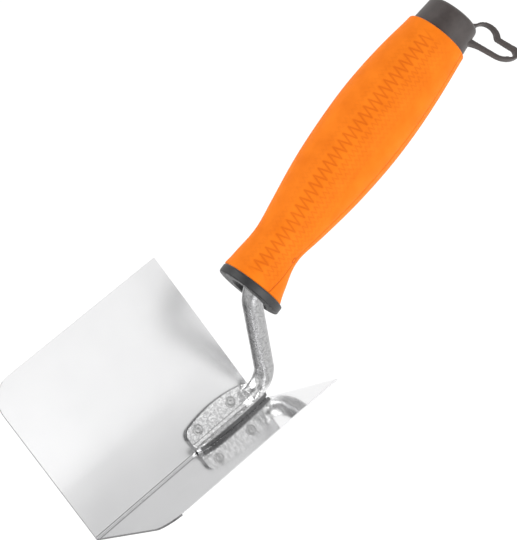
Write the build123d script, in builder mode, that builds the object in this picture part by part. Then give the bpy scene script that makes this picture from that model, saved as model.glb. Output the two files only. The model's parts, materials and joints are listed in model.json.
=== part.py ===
from build123d import *
from math import cos, radians, sin, sqrt
import os

# Inside corner trowel: a folded stainless blade on a riveted gooseneck tang, with an overmoulded handle.
#
# Frame: millimetres, +Z up. The two wings of the blade meet in a sharp outer corner line, which lies
# along +X at Y = 0, Z = 0. The origin is the toe end of that line, and +X runs towards the handle.
# The left wing rises towards +Y and the right wing towards -Y, each at 45 degrees.

os.makedirs("parts", exist_ok=True)

# ---------------------------------------------------------------- driving dimensions
blade_length = 80.0          # along the corner line
wing_width = 63.9            # from the corner line to the wing's free edge
sheet = 0.7                  # stainless sheet thickness
bend_inner = 1.0             # inner radius of the fold
toe_corner_radius = 10.0     # rounded outer corners at the toe end

flange_thickness = 2.0       # tang foot, on each wing
flange_toe = 48.4            # X of the foot's toe end
flange_heel = 79.2           # X of the foot's heel end
flange_width = 10.2          # widest reach along the wing, from the inner corner
foot_corner_clear = 1.6      # chamfer that clears the blade's inner bend

rivet_x = (53.4, 69.6)
rivet_reach = 6.35           # along the wing, from the inner corner
rivet_shank = 1.6            # radius
rivet_head = 2.6             # radius of the flush head in the working face
rivet_tail = 2.1             # radius of the pressed tail on the flange
rivet_tail_rise = 0.25
rivet_head_depth = 0.5
rivet_head_taper = 50        # degrees, the countersink's side to the rivet's axis
root_start = 75.4            # X of the root block that joins the foot to the rod
root_middle = 78.2
root_end = 80.8

rod_radius = 3.6
rod_heel_x = 84.9            # X of the upright stretch of the gooseneck, at the foot
rod_lean = 0.1               # how much further it stands back at the handle
lower_bend = 8.9             # centre-line radius at the foot
upper_bend = 11.0            # centre-line radius at the handle's mouth
rod_end_depth = 14.0         # end of the round rod, inside the handle
spike_drop = 2.6             # the spike lies below the handle's axis
spike_root = 5.0             # side of the square spike
spike_tip = 3.2
spike_end = 64.0

handle_tilt = 22.3           # degrees above the corner line
mouth_x = 82.8               # the collar's front face, on the handle's axis
mouth_z = 57.0

collar_depth = 3.2
collar_half_width = 11.9
collar_drop = 2.9            # the collar hangs lower than the axis, as a finger stop
collar_oval = 1.15           # its height over its width
collar_front_edge = 0.6      # edge radii
collar_rear_edge = 0.5
hollow_end = 9.0             # depth of the hollow behind the mouth
sleeve_end = 110.8           # distances along the handle's axis, from the collar's front face
cap_end = 121.2
cap_front_radius = 10.8
cap_rear_radius = 9.8
cap_drop = 1.2               # the cap sits a little below the handle's axis
cap_edge = 2.0               # edge radius at the rear
spigot_radius = 6.5
spigot_end = 117.4
loop_depth = 2.1
loop_root_distance = 119.8   # the loop's root, along the handle's axis
loop_root_side = -8.9        # towards the right wing
loop_root_drop = 5.1         # below the axis
oval = 1.12                  # height of the handle's sections over their width

wall = sheet * sqrt(2)       # height of the inner corner above the outer corner line

# ---------------------------------------------------------------- frames
inner_left = Plane(origin=(0, 0, wall), x_dir=(1, 0, 0), z_dir=(0, -1, 1))

axis_dir = Vector(cos(radians(handle_tilt)), 0, sin(radians(handle_tilt)))
up_dir = Vector(-sin(radians(handle_tilt)), 0, cos(radians(handle_tilt)))
mouth = Vector(mouth_x, 0, mouth_z)


def along_handle(distance):
    """Plane square to the handle's axis: local X is +Y, local Y points up, away from the blade."""
    return Plane(origin=mouth + axis_dir * distance, x_dir=(0, 1, 0), z_dir=axis_dir)


def handle_section(distance, half_width, drop, ratio=oval):
    """One oval section of the handle, with its centre lowered towards the fingers."""
    with BuildSketch(along_handle(distance)) as section:
        with Locations((0, -drop)):
            Ellipse(half_width, half_width * ratio)
    return section.sketch


def cap_circle(distance, radius):
    """One round section of the end cap or of the spigot that it fits on."""
    return handle_section(distance, radius, cap_drop, 1.0)


def rivet_plane(x, side):
    """Plane on the wing's inner face at a rivet, with its normal pointing into the foot's flange."""
    reach = rivet_reach / sqrt(2)
    return Plane(origin=(x, side * reach, wall + reach), x_dir=(1, 0, 0), z_dir=(0, -side, 1))


def corner_section(x, points):
    """A section square to the corner line, with points given as reach along the left and right wings."""
    diagonal = 1 / sqrt(2)
    with BuildSketch(Plane(origin=(x, 0, wall), x_dir=(0, 1, 0), z_dir=(1, 0, 0))) as section:
        with BuildLine():
            Polyline([((a - b) * diagonal, (a + b) * diagonal) for a, b in points], close=True)
        make_face()
    return section.sketch


# ---------------------------------------------------------------- blade
with BuildPart() as blade:
    tip = wing_width / sqrt(2)
    step = sheet / sqrt(2)
    with BuildSketch(Plane.YZ):
        with BuildLine():
            Polyline(
                (0, 0), (tip, tip), (tip - step, tip + step), (0, wall), (step - tip, tip + step), (-tip, tip),
                close=True,
            )
        make_face()
        fillet(vertices().sort_by_distance((0, wall, 0))[0], bend_inner)
    extrude(amount=blade_length)
    short_edges = blade.edges().filter_by(lambda edge: abs(edge.length - sheet) < 0.01)
    fillet(short_edges.group_by(Axis.X)[0], toe_corner_radius)
    for x in rivet_x:
        for side in (1, -1):
            with BuildSketch(rivet_plane(x, side).offset(-sheet)):
                Circle(rivet_head)
            extrude(amount=rivet_head_depth, taper=rivet_head_taper, mode=Mode.SUBTRACT)
            with BuildSketch(rivet_plane(x, side).offset(-sheet)):
                Circle(rivet_shank)
            extrude(amount=sheet, mode=Mode.SUBTRACT)
blade.part.label = "blade"

# ---------------------------------------------------------------- tang: foot, root block, gooseneck and spike
rod_low_z = wall + rod_radius * sqrt(2)
spike_line = mouth - up_dir * spike_drop
rod_top_x = rod_heel_x + rod_lean
rod_top_z = spike_line.Z + (rod_top_x - spike_line.X) * axis_dir.Z / axis_dir.X
rod_end = spike_line + axis_dir * rod_end_depth

with BuildPart() as tang:
    # D-shaped flange on the left wing, mirrored onto the right one
    with BuildSketch(inner_left):
        with BuildLine():
            Line((flange_heel, foot_corner_clear), (flange_toe, foot_corner_clear))
            Line((flange_toe, foot_corner_clear), (flange_toe, flange_width - 4))
            ThreePointArc(
                (flange_toe, flange_width - 4),
                (flange_toe + 1.0, flange_width - 2.3),
                (flange_toe + 3.2, flange_width - 1.3),
            )
            ThreePointArc(
                (flange_toe + 3.2, flange_width - 1.3),
                (flange_toe + 12.6, flange_width),
                (flange_heel, flange_width - 2.4),
            )
            Line((flange_heel, flange_width - 2.4), (flange_heel, foot_corner_clear))
        make_face()
    extrude(amount=flange_thickness)
    mirror(about=Plane.XZ)

    # the fillet that fills the inner corner between the flanges
    thick = flange_thickness
    web = [
        (foot_corner_clear, 0), (thick + 2, 0), (thick + 2, thick), (thick + 1.2, thick),
        (thick, thick + 1.2), (thick, thick + 2), (0, thick + 2), (0, foot_corner_clear),
    ]
    extrude(corner_section(flange_toe, web), amount=flange_heel - flange_toe)

    # root block: the flanges thicken towards the heel and close in around the rod
    block_start = [(foot_corner_clear, 0), (8.2, 0), (8.2, 1.9), (2.6, 1.9)]
    block_middle = [(foot_corner_clear, 0), (7.9, 0), (8.0, 2.9), (6.0, 5.2)]
    block_end = [(foot_corner_clear, 0.3), (6.2, 0.3), (6.8, 2.6), (5.9, 5.0)]
    for near, far in (
        ((root_start, block_start), (root_middle, block_middle)),
        ((root_middle, block_middle), (root_end, block_end)),
    ):
        sections = [
            corner_section(x, half + [(b, a) for a, b in reversed(half)])
            for x, half in (near, far)
        ]
        loft(sections, ruled=True)

    # gooseneck rod
    with BuildLine():
        FilletPolyline(
            (root_start, 0, rod_low_z),
            (rod_heel_x, 0, rod_low_z),
            (rod_top_x, 0, rod_top_z),
            rod_end,
            radius=[lower_bend, upper_bend],
        )
    with BuildSketch(Plane(origin=(root_start, 0, rod_low_z), z_dir=(1, 0, 0))):
        Circle(rod_radius)
    sweep()

    # tapered square spike, held in the handle's core
    for distance, side in ((rod_end_depth - 1, spike_root), (spike_end, spike_tip)):
        with BuildSketch(along_handle(distance)):
            with Locations((0, -spike_drop)):
                Rectangle(side, side)
    loft()

    # rivet holes
    for x in rivet_x:
        for side in (1, -1):
            with BuildSketch(rivet_plane(x, side)):
                Circle(rivet_shank)
            extrude(amount=flange_thickness + 1, mode=Mode.SUBTRACT)
tang.part.label = "tang"

# ---------------------------------------------------------------- rivets
rivets = []
for side, side_name in ((1, "left"), (-1, "right")):
    for x, end_name in zip(rivet_x, ("toe", "heel")):
        with BuildPart() as rivet:
            with BuildSketch(rivet_plane(x, side).offset(-sheet)):
                Circle(rivet_head)
            extrude(amount=rivet_head_depth, taper=rivet_head_taper)
            with BuildSketch(rivet_plane(x, side).offset(-sheet)):
                Circle(rivet_shank)
            extrude(amount=sheet + flange_thickness)
            with BuildSketch(rivet_plane(x, side).offset(flange_thickness)):
                Circle(rivet_tail)
            extrude(amount=rivet_tail_rise)
            with BuildSketch(rivet_plane(x, side).offset(flange_thickness + rivet_tail_rise)):
                Circle(rivet_tail * 0.72)
            extrude(amount=-rivet_tail_rise * 0.7, mode=Mode.SUBTRACT)
            with BuildSketch(rivet_plane(x, side).offset(flange_thickness + rivet_tail_rise)):
                Circle(rivet_tail * 0.5)
            extrude(amount=-rivet_tail_rise, taper=20)
        rivet.part.label = f"rivet_{side_name}_{end_name}"
        rivets.append(rivet.part)

# ---------------------------------------------------------------- handle
# (distance from the mouth, half width, drop of the centre, height over width) of the hollow
mouth_stations = [(0, 6.0, 4.7, 1.82), (collar_depth, 5.6, 2.1, 1.33), (hollow_end, 4.4, 2.4, 1.0)]

with BuildPart() as front_collar:
    extrude(handle_section(0, collar_half_width, collar_drop, collar_oval), amount=collar_depth)
    rims = front_collar.edges().sort_by(Axis((0, 0, 0), axis_dir))
    fillet(rims[0], collar_front_edge)
    fillet(rims[-1], collar_rear_edge)
    loft([handle_section(*station) for station in mouth_stations[:2]], mode=Mode.SUBTRACT)
front_collar.part.label = "front_collar"

# (distance from the mouth, half width, drop of the centre): a finger stop, a neck and a palm swell
sleeve_stations = [
    (collar_depth, 11.6, 1.8), (9, 10.3, 0.6), (14.5, 9.2, -0.4), (20, 8.9, -0.8), (26, 9.75, -0.6),
    (34, 11.05, -0.4), (44, 12.5, -0.3), (54, 13.5, -0.15), (64, 14.1, 0), (74, 14.3, 0),
    (84, 14.0, 0.1), (93.5, 13.3, 0.3), (102.5, 12.3, 0.6), (sleeve_end, 11.3, 0.9),
]
# the core's sections also give their height over their width
core_stations = [
    (collar_depth, 8.9, 1.6, 1.25), (11, 7.3, 0.5, 1.1), (20, 7.0, 0.2, 1.02), (32, 8.2, 0, 1.0),
    (45, 9.8, 0, 1.0), (60, 10.8, 0, 1.0), (75, 11.0, 0, 1.0), (90, 10.3, 0, 1.0),
    (sleeve_end, 8.6, cap_drop, 1.0),
]

with BuildPart() as core_body:
    loft([handle_section(*station) for station in core_stations])

with BuildPart() as grip_sleeve:
    loft([handle_section(*station) for station in sleeve_stations])
    add(core_body.part, mode=Mode.SUBTRACT)
grip_sleeve.part.label = "grip_sleeve"

with BuildPart() as handle_core:
    add(core_body.part)
    extrude(cap_circle(sleeve_end, spigot_radius), amount=spigot_end - sleeve_end)
    loft([handle_section(*station) for station in mouth_stations[1:]], mode=Mode.SUBTRACT)
    add(tang.part, mode=Mode.SUBTRACT)
handle_core.part.label = "handle_core"

# ---------------------------------------------------------------- end cap with its hanging loop
loop_root = along_handle(loop_root_distance).from_local_coords((loop_root_side, -loop_root_drop, 0))
loop_plane = Plane(origin=loop_root, x_dir=(0.34, -0.80, -0.50), z_dir=(0.13, -0.49, 0.86))

with BuildPart() as end_cap:
    # tapered cap with a rounded rear edge
    loft([cap_circle(sleeve_end, cap_front_radius), cap_circle(cap_end, cap_rear_radius)])
    fillet(end_cap.edges().sort_by(Axis((0, 0, 0), axis_dir))[-1], cap_edge)
    # keyhole-shaped hanging loop, an open ring whose two arms run into the cap
    with BuildSketch(loop_plane):
        with BuildLine():
            Polyline((-5.0, 0.8), (-5.0, -3.0), (-3.0, -7.2))
            ThreePointArc((-3.0, -7.2), (0.2, -5.4), (4.0, -4.4))
            Line((4.0, -4.4), (10.5, -4.1))
            ThreePointArc((10.5, -4.1), (15.2, -2.0), (17.4, 1.3))
            ThreePointArc((17.4, 1.3), (16.6, 3.3), (13.8, 4.0))
            Line((13.8, 4.0), (8.9, 3.9))
            ThreePointArc((8.9, 3.9), (4.2, 7.1), (-0.9, 4.1))
            Line((-0.9, 4.1), (-5.0, 0.8))
        make_face()
        with BuildLine():
            Line((-6.0, -1.6), (-0.4, 3.3))
            ThreePointArc((-0.4, 3.3), (3.2, 6.0), (6.9, 3.4))
            Line((6.9, 3.4), (7.7, 2.6))
            Line((7.7, 2.6), (13.4, 2.5))
            ThreePointArc((13.4, 2.5), (15.6, 1.2), (13.9, -1.2))
            ThreePointArc((13.9, -1.2), (12.4, -2.4), (10.2, -3.0))
            Line((10.2, -3.0), (-6.0, -3.2))
            Line((-6.0, -3.2), (-6.0, -1.6))
        make_face(mode=Mode.SUBTRACT)
    extrude(amount=-loop_depth)
    extrude(cap_circle(sleeve_end, spigot_radius), amount=spigot_end - sleeve_end, mode=Mode.SUBTRACT)
end_cap.part.label = "end_cap"

# ---------------------------------------------------------------- STEP files
pieces = [
    blade.part, tang.part, *rivets, front_collar.part, grip_sleeve.part, handle_core.part, end_cap.part,
]
for piece in pieces:
    export_step(piece, f"parts/{piece.label}.step")
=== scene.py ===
import json
import math

import bmesh
import bpy
import numpy as np
from mathutils import Matrix, Vector, noise
from mathutils.bvhtree import BVHTree


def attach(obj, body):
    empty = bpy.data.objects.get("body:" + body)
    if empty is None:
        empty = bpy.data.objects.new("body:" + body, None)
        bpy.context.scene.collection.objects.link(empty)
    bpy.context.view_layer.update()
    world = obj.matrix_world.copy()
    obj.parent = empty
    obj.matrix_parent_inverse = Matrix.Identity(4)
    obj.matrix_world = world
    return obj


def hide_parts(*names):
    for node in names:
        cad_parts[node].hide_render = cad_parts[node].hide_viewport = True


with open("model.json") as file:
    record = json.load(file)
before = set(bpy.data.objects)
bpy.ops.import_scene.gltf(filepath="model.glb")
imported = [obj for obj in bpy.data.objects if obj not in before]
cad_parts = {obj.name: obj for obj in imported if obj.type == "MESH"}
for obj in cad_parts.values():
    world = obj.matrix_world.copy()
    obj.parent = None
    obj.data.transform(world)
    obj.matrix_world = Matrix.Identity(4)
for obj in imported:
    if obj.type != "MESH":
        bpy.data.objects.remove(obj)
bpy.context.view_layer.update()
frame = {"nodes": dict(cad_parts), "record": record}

MM = 0.001
scene = bpy.context.scene
scene.view_settings.view_transform = "Standard"


# ---------------------------------------------------------------- camera
def make_camera(target, distance, azimuth, elevation, roll, lens):
    """A camera that looks at target; angles in degrees, azimuth 0 looks along +Y."""
    a, e, r = (math.radians(v) for v in (azimuth, elevation, roll))
    forward = Vector((math.sin(a) * math.cos(e), math.cos(a) * math.cos(e), -math.sin(e)))
    level = forward.cross(Vector((0, 0, 1))).normalized()
    right = level * math.cos(r) + level.cross(forward) * math.sin(r)
    up = right.cross(forward)
    data = bpy.data.cameras.new("camera")
    data.lens = lens
    camera = bpy.data.objects.new("camera", data)
    turn = Matrix((right, up, -forward)).transposed()
    camera.matrix_world = Matrix.Translation(Vector(target) - forward * distance) @ turn.to_4x4()
    scene.collection.objects.link(camera)
    scene.camera = camera


make_camera(target=(0.0978, 0.0097, 0.0474), distance=0.9,
            azimuth=37.807, elevation=46.804, roll=-10.313, lens=172)


# ---------------------------------------------------------------- material helpers
def new_material(name, colour, metallic, roughness, specular=0.5):
    """A Principled material with its constant values set on the shader's own sockets."""
    material = bpy.data.materials.new(name)
    material.use_nodes = True
    shader = material.node_tree.nodes["Principled BSDF"]
    shader.inputs["Base Color"].default_value = (*colour, 1)
    shader.inputs["Metallic"].default_value = metallic
    shader.inputs["Roughness"].default_value = roughness
    shader.inputs["Specular IOR Level"].default_value = specular
    return material, shader


def noise_node(material, scale, detail=4.0, rough=0.5):
    """Noise in the object's own coordinates, in metres."""
    nodes = material.node_tree.nodes
    coords = nodes.new("ShaderNodeTexCoord")
    texture = nodes.new("ShaderNodeTexNoise")
    texture.inputs["Scale"].default_value = scale
    texture.inputs["Detail"].default_value = detail
    texture.inputs["Roughness"].default_value = rough
    material.node_tree.links.new(coords.outputs["Object"], texture.inputs["Vector"])
    return texture.outputs["Fac"]


def span(material, value, low, high, from_low=0.3, from_high=0.7):
    """The value stretched to run from low to high."""
    node = material.node_tree.nodes.new("ShaderNodeMapRange")
    node.inputs["From Min"].default_value = from_low
    node.inputs["From Max"].default_value = from_high
    node.inputs["To Min"].default_value = low
    node.inputs["To Max"].default_value = high
    material.node_tree.links.new(value, node.inputs["Value"])
    return node.outputs["Result"]


def tint(material, shader, value, first, second):
    """Base colour that wanders between two colours."""
    node = material.node_tree.nodes.new("ShaderNodeMix")
    node.data_type = "RGBA"
    node.inputs["A"].default_value = (*first, 1)
    node.inputs["B"].default_value = (*second, 1)
    material.node_tree.links.new(value, node.inputs["Factor"])
    material.node_tree.links.new(node.outputs["Result"], shader.inputs["Base Color"])


def paint_shade_by(material, shader, attribute_name, dark):
    """Painted shade: base colour drawn towards a dark one where the mesh attribute is high."""
    nodes, links = material.node_tree.nodes, material.node_tree.links
    attribute = nodes.new("ShaderNodeAttribute")
    attribute.attribute_name = attribute_name
    mix = nodes.new("ShaderNodeMix")
    mix.data_type = "RGBA"
    mix.inputs["B"].default_value = (*dark, 1)
    links.new(shader.inputs["Base Color"].links[0].from_socket, mix.inputs["A"])
    links.new(attribute.outputs["Fac"], mix.inputs["Factor"])
    links.new(mix.outputs["Result"], shader.inputs["Base Color"])


def bump(material, shader, value, distance):
    """Fine relief, in metres, below what the mesh holds."""
    node = material.node_tree.nodes.new("ShaderNodeBump")
    node.inputs["Distance"].default_value = distance
    node.inputs["Strength"].default_value = 1.0
    material.node_tree.links.new(value, node.inputs["Height"])
    material.node_tree.links.new(node.outputs["Normal"], shader.inputs["Normal"])


# ---------------------------------------------------------------- materials
def stainless_sheet():
    """Fine rolled stainless: satin when seen square on, close to a mirror at a shallow angle."""
    material, shader = new_material("stainless_sheet", (0.9, 0.9, 0.9), 1.0, 0.3)
    clouds = noise_node(material, 60, detail=3)
    tint(material, shader, span(material, clouds, 0, 1), (0.82, 0.82, 0.826), (0.85, 0.85, 0.855))
    weight = material.node_tree.nodes.new("ShaderNodeLayerWeight")
    roughness = span(material, weight.outputs["Facing"], 0.27, 0.08, from_low=0.12, from_high=0.8)
    material.node_tree.links.new(roughness, shader.inputs["Roughness"])
    return material


def zinc_steel():
    """Zinc-plated forging: satin, mottled, with a fine grain."""
    material, shader = new_material("zinc_steel", (0.62, 0.62, 0.62), 1.0, 0.33)
    mottle = noise_node(material, 1100, detail=6, rough=0.7)
    grain = noise_node(material, 3000, detail=4)
    patches = span(material, mottle, 0, 1, from_low=0.4, from_high=0.6)
    tint(material, shader, patches, (0.62, 0.62, 0.625), (1.0, 1.0, 1.0))
    # painted shade from the tang's attribute: the angle by the flanges' walls, and the rod
    paint_shade_by(material, shader, "painted_shade", (0.07, 0.07, 0.072))
    material.node_tree.links.new(span(material, mottle, 0.32, 0.18), shader.inputs["Roughness"])
    bump(material, shader, grain, 0.03 * MM)
    return material


def rivet_steel():
    """Pressed rivet metal, a little brighter and smoother than the forging."""
    material, shader = new_material("rivet_steel", (0.7, 0.7, 0.7), 1.0, 0.3)
    mottle = noise_node(material, 900, detail=4)
    tint(material, shader, span(material, mottle, 0, 1), (0.56, 0.56, 0.56), (0.76, 0.76, 0.76))
    material.node_tree.links.new(span(material, mottle, 0.36, 0.24), shader.inputs["Roughness"])
    return material


def black_plastic(name, dark, light):
    """Hard moulded plastic with a fine spark-eroded grain."""
    material, shader = new_material(name, dark, 0.0, 0.46)
    patches = noise_node(material, 300, detail=3)
    grain = noise_node(material, 3200, detail=3)
    tint(material, shader, span(material, patches, 0, 1), dark, light)
    material.node_tree.links.new(span(material, patches, 0.4, 0.52), shader.inputs["Roughness"])
    bump(material, shader, grain, 0.02 * MM)
    return material


def orange_rubber():
    """Soft overmould: matte, with a fine leathery grain."""
    material, shader = new_material("orange_rubber", (0.95, 0.22, 0.01), 0.0, 0.6, specular=0.06)
    clouds = noise_node(material, 160, detail=4)
    grain = noise_node(material, 1900, detail=3)
    tint(material, shader, span(material, clouds, 0, 1), (0.82, 0.18, 0.008), (0.93, 0.22, 0.012))
    # painted shade in the grooves: darker orange where the engraving is deep
    paint_shade_by(material, shader, "engraved", (0.5, 0.06, 0.004))
    material.node_tree.links.new(span(material, grain, 0.48, 0.66), shader.inputs["Roughness"])
    bump(material, shader, grain, 0.035 * MM)
    return material


def shaded_sheared_edge():
    """The cut edge of the sheet: torn and duller than its faces, and darkened further with painted shade."""
    material, shader = new_material("shaded_sheared_edge", (0.2, 0.2, 0.205), 1.0, 0.5)
    streaks = noise_node(material, 1500, detail=3)
    tint(material, shader, span(material, streaks, 0, 1), (0.13, 0.13, 0.135), (0.3, 0.3, 0.3))
    return material


STAINLESS = stainless_sheet()
SHEARED_WITH_SHADE = shaded_sheared_edge()
ZINC = zinc_steel()
RIVET = rivet_steel()
CAP_PLASTIC = black_plastic("cap_plastic", (0.046, 0.037, 0.035), (0.066, 0.053, 0.05))
COLLAR_PLASTIC = black_plastic("collar_plastic", (0.016, 0.016, 0.017), (0.026, 0.026, 0.027))
CORE_PLASTIC = black_plastic("core_plastic", (0.012, 0.012, 0.012), (0.02, 0.02, 0.02))
ORANGE = orange_rubber()


# ---------------------------------------------------------------- mesh helpers
def smooth_shading(mesh):
    mesh.polygons.foreach_set("use_smooth", [True] * len(mesh.polygons))
    mesh.update()


def add_piece(name, mesh, material, node):
    """A visible piece that stands for one CAD node and moves with the tool."""
    mesh.materials.clear()
    mesh.materials.append(material)
    piece = bpy.data.objects.new(name, mesh)
    scene.collection.objects.link(piece)
    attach(piece, "root")
    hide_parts(node)
    return piece


def welded_copy(node):
    """The CAD node's surface as a new bmesh, with its split vertices joined."""
    copy = bmesh.new()
    copy.from_mesh(frame["nodes"][node].data)
    bmesh.ops.remove_doubles(copy, verts=copy.verts, dist=0.001 * MM)
    return copy


def baked(mesh, modifiers):
    """The mesh with modifiers applied, each given as (type, settings)."""
    carrier = bpy.data.objects.new("carrier", mesh)
    scene.collection.objects.link(carrier)
    for kind, settings in modifiers:
        modifier = carrier.modifiers.new(kind, kind)
        for key, value in settings.items():
            setattr(modifier, key, value)
    result = bpy.data.meshes.new_from_object(carrier.evaluated_get(bpy.context.evaluated_depsgraph_get()))
    bpy.data.objects.remove(carrier)
    return result


VOXEL = 0.2 * MM             # the mesh size of the forging and the mouldings


def rounded_copy(node, rounds):
    """An even, dense copy of a CAD node with its edges softened, as a casting or moulding has them."""
    source = bpy.data.meshes.new(node + "_source")
    copy = welded_copy(node)
    copy.to_mesh(source)
    copy.free()
    mesh = baked(source, [
        ("REMESH", {"mode": "VOXEL", "voxel_size": VOXEL}),
        ("SMOOTH", {"factor": 0.5, "iterations": rounds}),
    ])
    smooth_shading(mesh)
    return mesh


def vertices_of(mesh):
    places = np.empty(len(mesh.vertices) * 3)
    mesh.vertices.foreach_get("co", places)
    return places.reshape(-1, 3)


# ---------------------------------------------------------------- blade
FOLD_ROUND = 0.5 * MM        # outside radius of the fold
EDGE_ROUND = 0.1 * MM        # sheared edges, slightly broken
FOLD_REACH = 4 * MM          # the fold's curve ends well within this distance of the corner line
FLAT_ENOUGH = 0.9            # a face this square to its wing belongs to the sheet's own surface
TOE_FACING = 0.3             # how far a cut face turns towards the toe or the heel to get the torn edge with painted shade


def make_blade():
    """The CAD sheet with a rounded fold and broken edges; its cut ends get their own material, torn metal
    with painted shade.
    """
    sheet = welded_copy("blade")
    bmesh.ops.dissolve_limit(sheet, angle_limit=math.radians(1), verts=sheet.verts, edges=sheet.edges)
    fold = [edge for edge in sheet.edges if all(v.co.yz.length < 0.01 * MM for v in edge.verts)]
    bmesh.ops.bevel(sheet, geom=fold, offset=FOLD_ROUND, segments=5, profile=0.5, affect="EDGES")
    source = bpy.data.meshes.new("blade_source")
    sheet.to_mesh(source)
    sheet.free()
    smooth_shading(source)
    mesh = baked(source, [
        ("BEVEL", {"width": EDGE_ROUND, "segments": 2, "limit_method": "ANGLE",
                   "angle_limit": math.radians(35)}),
        ("WEIGHTED_NORMAL", {"weight": 100, "keep_sharp": False}),
    ])
    piece = add_piece("blade_sheet", mesh, STAINLESS, "blade")
    mesh.materials.append(SHEARED_WITH_SHADE)
    for face in mesh.polygons:
        side = math.copysign(1, face.center.y)
        reach = (side * face.center.y + face.center.z) / math.sqrt(2)
        flatness = abs(face.normal.z - side * face.normal.y) / math.sqrt(2)
        # toe and heel cut faces: torn, duller metal with painted shade
        if reach > FOLD_REACH and flatness < FLAT_ENOUGH and abs(face.normal.x) > TOE_FACING:
            face.material_index = 1
    return piece


# ---------------------------------------------------------------- tang
FLANGE_TOP = 2.7 * MM        # the flanges' upper faces, above the working faces
ROD_START = 78 * MM
HAMMER_SCALES = (900, 2500)  # unevenness per metre
HAMMER_DEPTH = 0.02 * MM
WEB_REACH = 6 * MM           # how far the web between the flanges reaches from the corner line


def tang_painted_shade(places, normals):
    """Painted shade: darker in the angle between the flanges' walls and the sheet, less by the web, and over
    the rod, which is painted as a darker copy of the same metal.
    """
    side = np.sign(places[:, 1])
    lift = np.minimum(places[:, 2] - side * places[:, 1], places[:, 2] + side * places[:, 1]) / math.sqrt(2)
    flatness = np.abs(normals[:, 2] - side * normals[:, 1]) / math.sqrt(2)
    wall = np.clip((FLANGE_TOP - lift) / (0.6 * MM), 0, 1) * np.clip((0.8 - flatness) / 0.3, 0, 1)
    rod = np.clip((places[:, 0] - ROD_START) / (4 * MM), 0, 1) * np.clip((lift - FLANGE_TOP) / (2 * MM), 0, 1)
    reach = (side * places[:, 1] + places[:, 2]) / math.sqrt(2)
    wall *= np.where(reach < WEB_REACH, 0.5, 1)
    return np.maximum(0.88 * wall, 0.58 * rod)


def make_tang():
    """The forging: softened edges, with a shallow hammered unevenness."""
    mesh = rounded_copy("tang", rounds=2)
    places = vertices_of(mesh)
    normals = np.array([tuple(v.normal) for v in mesh.vertices])
    coarse, fine = HAMMER_SCALES
    depth = np.array([noise.noise(Vector(p) * coarse) + 0.5 * noise.noise(Vector(p) * fine) for p in places])
    places += normals * (depth * HAMMER_DEPTH)[:, None]
    mesh.vertices.foreach_set("co", places.ravel())
    mesh.update()
    # painted shade in the angle by the flanges' walls and over the rod, kept as a mesh attribute
    painted_shade = mesh.attributes.new("painted_shade", "FLOAT", "POINT")
    painted_shade.data.foreach_set("value", tang_painted_shade(places, normals).astype(np.float32))
    return add_piece("tang_forging", mesh, ZINC, "tang")


# ---------------------------------------------------------------- rivets
RIVET_TURNS = 64
# (radius, height) in mm: the head from the working face, and the pressed tail from its own top
RIVET_HEAD = ((0, 0), (2.3, 0), (2.5, 0.06), (2.0, 0.5), (1.58, 0.5))
RIVET_TAIL = (
    (1.58, -0.3), (2.02, -0.26), (2.1, -0.18), (2.08, -0.08), (1.96, 0), (1.74, -0.01), (1.6, -0.12),
    (1.48, -0.15), (1.32, -0.1), (1.1, 0), (0.7, 0), (0.48, -0.06), (0.25, -0.12), (0, -0.13),
)


def revolved(profile, base, axis):
    """A closed solid turned from (radius, height) points, in metres, about an axis through base."""
    across = axis.orthogonal().normalized()
    other = axis.cross(across)
    solid = bmesh.new()
    rings = []
    for radius, height in profile:
        centre = base + axis * height
        if radius == 0:
            rings.append([solid.verts.new(centre)])
            continue
        angles = [2 * math.pi * k / RIVET_TURNS for k in range(RIVET_TURNS)]
        spokes = [across * math.cos(a) + other * math.sin(a) for a in angles]
        rings.append([solid.verts.new(centre + spoke * radius) for spoke in spokes])
    for low, high in zip(rings, rings[1:]):
        for k in range(RIVET_TURNS):
            n = (k + 1) % RIVET_TURNS
            if len(low) == 1:
                solid.faces.new((low[0], high[n], high[k]))
            elif len(high) == 1:
                solid.faces.new((low[k], low[n], high[0]))
            else:
                solid.faces.new((low[k], low[n], high[n], high[k]))
    bmesh.ops.recalc_face_normals(solid, faces=solid.faces)
    mesh = bpy.data.meshes.new("revolved")
    solid.to_mesh(mesh)
    solid.free()
    smooth_shading(mesh)
    return mesh


def make_rivet(node):
    """A turned rivet in the place of the CAD one, square to its wing."""
    places = vertices_of(frame["nodes"][node].data)
    side = 1 if places[:, 1].mean() > 0 else -1
    axis = Vector((0, -side, 1)).normalized()
    along = Vector((0, side, 1)).normalized()
    heights = places @ np.array(axis)
    reaches = places @ np.array(along)
    x = (places[:, 0].min() + places[:, 0].max()) / 2
    base = Vector((x, 0, 0)) + along * float(reaches.min() + reaches.max()) / 2 + axis * float(heights.min())
    top = float(heights.max() - heights.min())
    profile = [(r * MM, h * MM) for r, h in RIVET_HEAD]
    profile += [(r * MM, top + h * MM) for r, h in RIVET_TAIL]
    mesh = revolved(profile, base, axis)
    return add_piece(node + "_pressed", mesh, RIVET, node)


# ---------------------------------------------------------------- handle's frame, from the record
grip = next(mount for mount in frame["record"]["mounts"] if mount["name"] == "grip")
AXIS = Vector(grip["axis"]).normalized()
RIGHT = Vector((0, -1, 0))                      # towards the right wing
TOP = AXIS.cross(RIGHT).normalized()            # away from the blade
if TOP.z < 0:
    TOP.negate()
GRIP_POINT = Vector(grip["pos_m"])


# ---------------------------------------------------------------- sleeve
AXIAL_STEPS = 470
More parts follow.
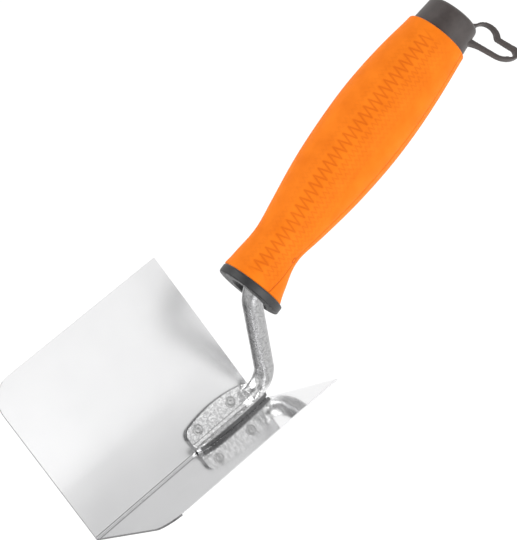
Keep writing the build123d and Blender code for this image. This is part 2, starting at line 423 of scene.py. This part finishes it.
# columns round the handle: (angle from the top towards the right, in degrees, columns up to it)
ROUND_COLUMNS = ((-180, 0), (-112, 17), (-70, 53), (-18, 67), (112, 191), (180, 208))
ROUND_STEPS = ROUND_COLUMNS[-1][1]
SKIN_STEPS = 10              # rows down the sleeve's hidden inside
END_ROUND = 0.7 * MM
BAND_ANGLE = math.radians(22)     # centre of the patterned band, from the top towards the right
NECK_TURN = math.radians(9)       # how much further round it lies at the neck
PARTING_ANGLE = math.radians(97)
DEEPEST_CUT = 0.19 * MM
FULL_SHADE_CUT = 0.3 * MM          # a cut this deep would get the full painted shade
# (centre, half width, pitch, line width, depth) in mm: the band's own zigzag, then the faint rows
ZIGZAGS = (
    (0, 2.4, 2.9, 0.36, 0.13),
    (4.4, 1.1, 1.9, 0.26, 0.08),
    (7.0, 0.9, 1.9, 0.26, 0.06),
    (9.3, 0.8, 1.9, 0.26, 0.04),
    (-4.4, 0.9, 1.9, 0.26, 0.03),
)
PARTING_WIDTH = 0.22 * MM
PARTING_DEPTH = 0.2 * MM
PARTING_DRIFT = 0.12              # radians the line turns from front to back
MOUTH_BEND = 0.42                 # radians it bends towards the top at the front
NOTCH_BEHIND_FRONT = 14.5 * MM
NOTCH_RADIUS = 0.9 * MM
SMOOTHING_ROWS = 15


def triangle_wave(x):
    return 4 * np.abs(x - np.floor(x + 0.5)) - 1


def zigzag_groove(along, across, centre, half_width, pitch, line, depth):
    """Depth of an engraved zigzag that runs along the handle; all lengths in metres."""
    offset = across - centre
    slope = 4 * half_width / pitch
    inside = np.abs(offset - half_width * triangle_wave(along / pitch)) / math.hypot(1, slope)
    outside = np.maximum(np.abs(offset) - half_width, 0)
    return depth * np.exp(-(np.hypot(inside, outside) / line) ** 2)


def sleeve_relief(along, angle, radius):
    """How deep the surface is cut, at a distance behind the sleeve's front and an angle from the top."""
    band = BAND_ANGLE + NECK_TURN * np.exp(-((along - 18 * MM) / (16 * MM)) ** 2)
    across = (angle - band) * radius
    length = along.max()
    ends = np.clip((along - 1.5 * MM) / (3 * MM), 0, 1) * np.clip((length - 2 * MM - along) / (4 * MM), 0, 1)
    cut = sum(zigzag_groove(along, across, *(value * MM for value in zigzag)) for zigzag in ZIGZAGS)
    cut *= ends
    for side in (1, -1):
        bend = MOUTH_BEND * np.clip(1 - along / (14 * MM), 0, 1)
        path = PARTING_ANGLE + PARTING_DRIFT * along / length - bend
        gap = (side * angle - path) * radius
        cut += PARTING_DEPTH * np.exp(-(gap / PARTING_WIDTH) ** 2)
        from_notch = np.hypot(gap + NOTCH_RADIUS, along - NOTCH_BEHIND_FRONT)
        ring = np.exp(-((from_notch - NOTCH_RADIUS) / (0.25 * MM)) ** 2)
        cut += PARTING_DEPTH * ring * (gap < 0.6 * MM)
    return np.minimum(cut, DEEPEST_CUT)


def cast_rows(tree, distances, angles, outward):
    """Radius of the CAD sleeve's outer or inner surface on a grid of distances and angles."""
    reach = 40 * MM
    rows = np.empty((len(distances), len(angles)))
    for i, distance in enumerate(distances):
        centre = GRIP_POINT + AXIS * float(distance)
        for j, angle in enumerate(angles):
            ray = TOP * math.cos(angle) + RIGHT * math.sin(angle)
            if outward:
                rows[i, j] = tree.ray_cast(centre, ray, reach)[3]
            else:
                rows[i, j] = reach - tree.ray_cast(centre + ray * reach, -ray, reach)[3]
    return rows


def make_sleeve():
    """A fine grid laid on the CAD sleeve, with the engraved pattern and parting lines cut into it."""
    source = welded_copy("grip_sleeve")
    tree = BVHTree.FromBMesh(source)
    source.free()
    places = vertices_of(frame["nodes"]["grip_sleeve"].data) - np.array(GRIP_POINT)
    distances = places @ np.array(AXIS)
    start, end = distances.min(), distances.max()
    margin = 0.02 * MM

    coarse_along = np.linspace(start + margin, end - margin, 90)
    coarse_angle = np.linspace(-math.pi, math.pi, 96, endpoint=False)
    outer = cast_rows(tree, coarse_along, coarse_angle, outward=False)
    fine_along = np.linspace(start + margin, end - margin, AXIAL_STEPS)
    limits, counts = zip(*ROUND_COLUMNS)
    fine_angle = np.radians(np.interp(np.arange(ROUND_STEPS), counts, limits))
    # round the handle by its Fourier terms, which keeps it smooth, then along it
    terms = np.fft.rfft(outer, axis=1)[:, :13]
    orders = np.arange(terms.shape[1])
    waves = np.exp(1j * orders[:, None] * (fine_angle[None, :] - coarse_angle[0]))
    weights = np.where(orders == 0, 1, 2)[:, None]
    rounded = (terms @ (waves * weights)).real / outer.shape[1]
    radius = np.stack([np.interp(fine_along, coarse_along, column) for column in rounded.T], axis=1)
    kernel = np.hanning(SMOOTHING_ROWS) / np.hanning(SMOOTHING_ROWS).sum()
    spare = SMOOTHING_ROWS // 2
    padded = np.pad(radius, ((spare, spare), (0, 0)), mode="reflect", reflect_type="odd")
    radius = np.stack([np.convolve(column, kernel, mode="valid") for column in padded.T], axis=1)

    along = np.broadcast_to((fine_along - start)[:, None], radius.shape)
    angle = np.broadcast_to(fine_angle[None, :], radius.shape)
    relief = sleeve_relief(along, angle, radius)
    skin = radius - relief
    for edge in (along, (end - start) - along):
        close = np.clip(1 - edge / END_ROUND, 0, 1)
        skin -= END_ROUND * (1 - np.sqrt(1 - close ** 2))
    inside_along = np.linspace(end - margin, start + margin, SKIN_STEPS)
    inside = cast_rows(tree, inside_along, fine_angle, outward=True)

    rows = [(d, r) for d, r in zip(fine_along, skin)] + [(d, r) for d, r in zip(inside_along, inside)]
    points = np.concatenate([
        np.array(GRIP_POINT) + np.array(AXIS) * d
        + r[:, None] * (np.outer(np.cos(fine_angle), TOP) + np.outer(np.sin(fine_angle), RIGHT))
        for d, r in rows
    ])
    count = len(rows)
    ring = np.arange(ROUND_STEPS)
    here = (np.arange(count)[:, None] * ROUND_STEPS + ring).ravel()
    after = (np.arange(count)[:, None] * ROUND_STEPS + (ring + 1) % ROUND_STEPS).ravel()
    total = count * ROUND_STEPS
    faces = np.stack([here, after, (after + ROUND_STEPS) % total, (here + ROUND_STEPS) % total], axis=1)
    mesh = bpy.data.meshes.new("sleeve")
    mesh.from_pydata(points.tolist(), [], faces.tolist())
    smooth_shading(mesh)
    tidy = bmesh.new()
    tidy.from_mesh(mesh)
    bmesh.ops.recalc_face_normals(tidy, faces=tidy.faces)
    tidy.to_mesh(mesh)
    tidy.free()
    mesh.set_sharp_from_angle(angle=math.radians(60))
    # painted shade: the cut depth, kept as the amount of dark tint in the grooves
    engraved = mesh.attributes.new("engraved", "FLOAT", "POINT")
    values = np.zeros(len(mesh.vertices), np.float32)
    values[:relief.size] = (relief / FULL_SHADE_CUT).ravel()
    engraved.data.foreach_set("value", values)
    return add_piece("grip_overmould", mesh, ORANGE, "grip_sleeve")


# ---------------------------------------------------------------- collar, core and cap
def make_mouldings():
    """The collar and cap with softened edges; the hidden core keeps its CAD mesh."""
    collar = rounded_copy("front_collar", rounds=4)
    cap = rounded_copy("end_cap", rounds=4)
    core = frame["nodes"]["handle_core"]
    core.data.materials.clear()
    core.data.materials.append(CORE_PLASTIC)
    return [
        add_piece("collar_moulding", collar, COLLAR_PLASTIC, "front_collar"),
        add_piece("cap_with_loop", cap, CAP_PLASTIC, "end_cap"),
        core,
    ]


make_blade()
make_tang()
for rivet_name in ("rivet_left_toe", "rivet_left_heel", "rivet_right_toe", "rivet_right_heel"):
    make_rivet(rivet_name)
handle = [make_sleeve(), *make_mouldings()]
for piece in handle:
    piece.visible_glossy = False        # keeps the handle's own mirror image off the blade


# ---------------------------------------------------------------- studio
def make_floor():
    """A pale floor well below the tool, so that it lies in even light."""
    plane = bmesh.new()
    bmesh.ops.create_grid(plane, x_segments=1, y_segments=1, size=6.0)
    mesh = bpy.data.meshes.new("floor")
    plane.to_mesh(mesh)
    plane.free()
    floor = bpy.data.objects.new("floor", mesh)
    floor.location = (0.1, 0, -0.7)
    material, shader = new_material("floor_paint", (0.95, 0.95, 0.95), 0.0, 0.9, specular=0.1)
    shader.inputs["Emission Color"].default_value = (1, 1, 1, 1)
    shader.inputs["Emission Strength"].default_value = 0.28
    mesh.materials.append(material)
    scene.collection.objects.link(floor)


def add_softbox(name, direction, power):
    """A square area light that faces the tool, in metres and watts."""
    data = bpy.data.lights.new(name, "AREA")
    data.shape = "SQUARE"
    data.size = 0.7
    data.energy = power
    light = bpy.data.objects.new(name, data)
    toward = Vector(direction).normalized()
    light.location = Vector((0.11, 0, 0.05)) + toward
    light.rotation_euler = toward.to_track_quat("Z", "Y").to_euler()
    scene.collection.objects.link(light)


STUDIO_GAP = (math.radians(238), math.radians(20))    # azimuth and elevation of the dark patch's centre
GAP_EDGES = (math.radians(34), math.radians(18))      # where it starts and where it is fully dark
GAP_LEVEL = 0.08
CEILING_HEIGHTS = (0.74, 0.94)                        # sine of the elevation where the ceiling fades in
CEILING_LEVEL = 0.18


def make_world():
    """White studio surroundings, dim overhead, with a soft dark patch where the photographer stands."""
    world = bpy.data.worlds.new("studio")
    scene.world = world
    world.use_nodes = True
    nodes, links = world.node_tree.nodes, world.node_tree.links
    coords = nodes.new("ShaderNodeTexCoord")
    split = nodes.new("ShaderNodeSeparateXYZ")
    links.new(coords.outputs["Generated"], split.inputs["Vector"])

    def fade(value, start, end, before, after):
        node = nodes.new("ShaderNodeMapRange")
        node.interpolation_type = "SMOOTHSTEP"
        settings = {"From Min": start, "From Max": end, "To Min": before, "To Max": after}
        for key, setting in settings.items():
            node.inputs[key].default_value = setting
        links.new(value, node.inputs["Value"])
        return node.outputs["Result"]

    facing = nodes.new("ShaderNodeVectorMath")
    facing.operation = "DOT_PRODUCT"
    azimuth, elevation = STUDIO_GAP
    facing.inputs[1].default_value = (
        math.cos(elevation) * math.cos(azimuth), math.cos(elevation) * math.sin(azimuth), math.sin(elevation))
    links.new(coords.outputs["Generated"], facing.inputs[0])
    patch = fade(facing.outputs["Value"], *(math.cos(edge) for edge in GAP_EDGES), 1.0, GAP_LEVEL)
    overhead = fade(split.outputs["Z"], *CEILING_HEIGHTS, 1.0, CEILING_LEVEL)
    both = nodes.new("ShaderNodeMath")
    both.operation = "MULTIPLY"
    links.new(patch, both.inputs[0])
    links.new(overhead, both.inputs[1])
    links.new(both.outputs["Value"], nodes["Background"].inputs["Color"])


make_floor()
make_world()
add_softbox("softbox_left", (-0.42, 0.35, 0.84), 4)
add_softbox("softbox_right", (-0.09, -0.99, 0.15), 5.5)
